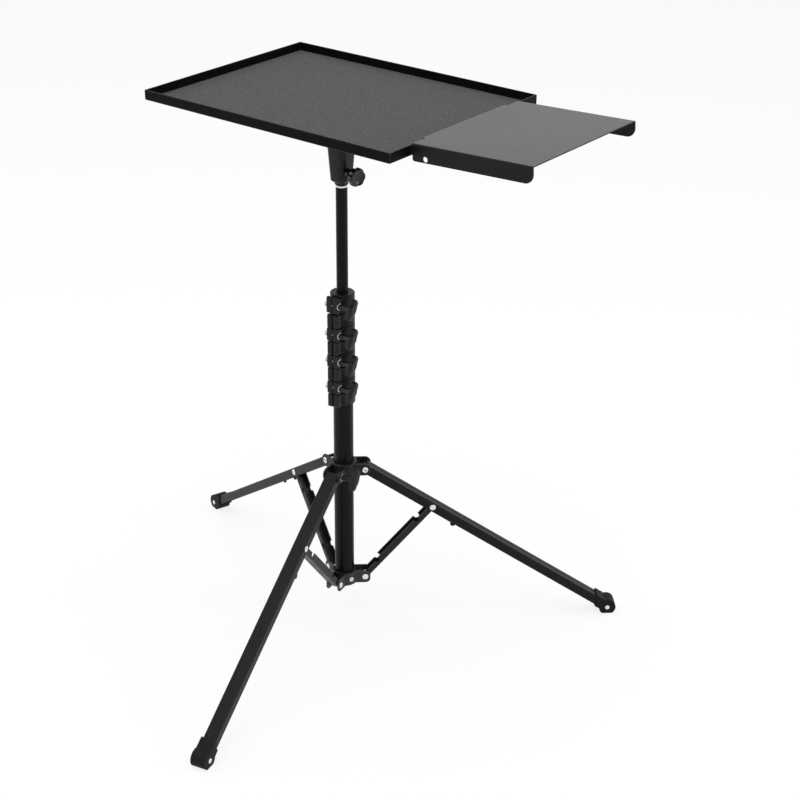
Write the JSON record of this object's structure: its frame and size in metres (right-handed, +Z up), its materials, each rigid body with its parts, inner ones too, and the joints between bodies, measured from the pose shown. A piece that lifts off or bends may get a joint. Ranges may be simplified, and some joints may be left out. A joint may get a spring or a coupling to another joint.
{
  "type": "projector and laptop tripod stand",
  "caption": "Telescopic tripod stand with a rimmed tray, a hook-on side shelf, clamped mast sections, a sliding leg collar and folding braced legs.",
  "frame": {"origin": "on the floor, under the middle of the whole stand as it stands open", "axes": "+Z up the mast, -Y towards the tray's front rim, +X towards the side shelf"},
  "size_m": [0.7647, 0.6748, 0.8173],
  "materials": {
    "coated_tray": "satin black powder coat",
    "coated_shelf": "smooth satin black powder coat",
    "mat_rubber": "fine grained grey mat",
    "moulded_black": "moulded black nylon",
    "zinc_steel": "zinc plated",
    "bright_steel": "nickel plated",
    "black_tube": "satin black coat",
    "black_leg": "satin black coat",
    "coated_plate": "dark grey coated sheet",
    "foot_rubber": "moulded black rubber"
  },
  "bodies": {
    "base": {"tube_1": "black_tube", "clamp_1": "moulded_black", "hub_core": "moulded_black", "hub_plate_1": "coated_plate", "hub_plate_2": "coated_plate", "hub_plate_3": "coated_plate", "hub_rivets": "bright_steel"},
    "collar": {"leg_collar": "moulded_black", "collar_rivets": "bright_steel"},
    "collar_knob": {"collar_knob": "moulded_black"},
    "leg_1": {"leg_1": "black_leg", "strut_pin_1": "bright_steel", "foot_1": "foot_rubber", "foot_rivet_1": "bright_steel"},
    "strut_1": {"strut_1": "coated_plate"},
    "leg_2": {"leg_2": "black_leg", "strut_pin_2": "bright_steel", "foot_2": "foot_rubber", "foot_rivet_2": "bright_steel"},
    "strut_2": {"strut_2": "coated_plate"},
    "leg_3": {"leg_3": "black_leg", "strut_pin_3": "bright_steel", "foot_3": "foot_rubber", "foot_rivet_3": "bright_steel"},
    "strut_3": {"strut_3": "coated_plate"},
    "section_2": {"tube_2": "black_tube", "clamp_2": "moulded_black"},
    "section_3": {"tube_3": "black_tube", "clamp_3": "moulded_black"},
    "section_4": {"tube_4": "black_tube", "clamp_4": "moulded_black"},
    "section_5": {"tube_5": "black_tube", "spigot": "bright_steel"},
    "knob_1": {"clamp_knob_1": "moulded_black"},
    "knob_2": {"clamp_knob_2": "moulded_black"},
    "knob_3": {"clamp_knob_3": "moulded_black"},
    "knob_4": {"clamp_knob_4": "moulded_black"},
    "head": {"tray": "coated_tray", "mat": "mat_rubber", "head_block": "moulded_black", "tray_screws": "zinc_steel"},
    "head_knob": {"head_knob": "moulded_black"},
    "shelf": {"side_shelf": "coated_shelf"}
  },
  "joints": [
    {"name": "collar_slide", "type": "slide", "parent": "base", "child": "collar", "axis": [0, 0, 1], "range_m": [0, 0.0875]},
    {"name": "leg_1_fold", "type": "hinge", "parent": "collar", "child": "leg_1", "pos_m": [0.02721, 0.08155, 0.25437], "axis": [-0.66, 0.7513, 0], "range_deg": [0, 51]},
    {"name": "strut_1_fold", "type": "hinge", "parent": "leg_1", "child": "strut_1", "pos_m": [0.10071, 0.14612, 0.18838], "axis": [-0.66, 0.7513, 0], "range_deg": [-87.78, 0]},
    {"name": "leg_2_fold", "type": "hinge", "parent": "collar", "child": "leg_2", "pos_m": [-0.02374, 0.07137, 0.25437], "axis": [-0.3206, -0.9472, 0], "range_deg": [0, 51]},
    {"name": "strut_2_fold", "type": "hinge", "parent": "leg_2", "child": "strut_2", "pos_m": [-0.1164, 0.10274, 0.18838], "axis": [-0.3206, -0.9472, 0], "range_deg": [-87.78, 0]},
    {"name": "leg_3_fold", "type": "hinge", "parent": "collar", "child": "leg_3", "pos_m": [0.01055, 0.03233, 0.25437], "axis": [0.9806, 0.1959, 0], "range_deg": [0, 51]},
    {"name": "strut_3_fold", "type": "hinge", "parent": "leg_3", "child": "strut_3", "pos_m": [0.02972, -0.0636, 0.18838], "axis": [0.9806, 0.1959, 0], "range_deg": [-87.78, 0]},
    {"name": "mast_slide_1", "type": "slide", "parent": "base", "child": "section_2", "axis": [0, 0, 1], "range_m": [0, 0.21]},
    {"name": "mast_slide_2", "type": "slide", "parent": "section_2", "child": "section_3", "axis": [0, 0, 1], "range_m": [0, 0.21]},
    {"name": "mast_slide_3", "type": "slide", "parent": "section_3", "child": "section_4", "axis": [0, 0, 1], "range_m": [0, 0.21]},
    {"name": "mast_slide_4", "type": "slide", "parent": "section_4", "child": "section_5", "axis": [0, 0, 1], "range_m": [-0.145, 0.19]},
    {"name": "head_swivel", "type": "hinge", "parent": "section_5", "child": "head", "pos_m": [0.00468, 0.06175, 0.68067], "axis": [0, 0, 1], "continuous": true},
    {"name": "head_knob_turn", "type": "hinge", "parent": "head", "child": "head_knob", "pos_m": [0.03109, 0.05614, 0.69917], "axis": [0.9781, -0.2079, 0], "continuous": true},
    {"name": "shelf_lift", "type": "slide", "parent": "head", "child": "shelf", "axis": [0, 0, 1], "range_m": [0, 0.06]},
    {"name": "clamp_knob_1_turn", "type": "hinge", "parent": "base", "child": "knob_1", "pos_m": [0.01556, 0.04062, 0.38927], "axis": [0.9962, 0.0872, 0], "continuous": true},
    {"name": "clamp_knob_2_turn", "type": "hinge", "parent": "section_2", "child": "knob_2", "pos_m": [0.01556, 0.04062, 0.42937], "axis": [0.9962, 0.0872, 0], "continuous": true},
    {"name": "clamp_knob_3_turn", "type": "hinge", "parent": "section_3", "child": "knob_3", "pos_m": [0.01556, 0.04062, 0.46947], "axis": [0.9962, 0.0872, 0], "continuous": true},
    {"name": "clamp_knob_4_turn", "type": "hinge", "parent": "section_4", "child": "knob_4", "pos_m": [0.01556, 0.04062, 0.51307], "axis": [0.9962, 0.0872, 0], "continuous": true},
    {"name": "collar_knob_turn", "type": "hinge", "parent": "collar", "child": "collar_knob", "pos_m": [0.01055, 0.03233, 0.25437], "axis": [0.9806, 0.1959, 0], "continuous": true}
  ],
  "couplings": [
    {"joint": "leg_1_fold", "follows": "collar_slide", "rad_per_m": 10.172},
    {"joint": "strut_1_fold", "follows": "collar_slide", "rad_per_m": -17.507},
    {"joint": "leg_2_fold", "follows": "collar_slide", "rad_per_m": 10.172},
    {"joint": "strut_2_fold", "follows": "collar_slide", "rad_per_m": -17.507},
    {"joint": "leg_3_fold", "follows": "collar_slide", "rad_per_m": 10.172},
    {"joint": "strut_3_fold", "follows": "collar_slide", "rad_per_m": -17.507}
  ]
}
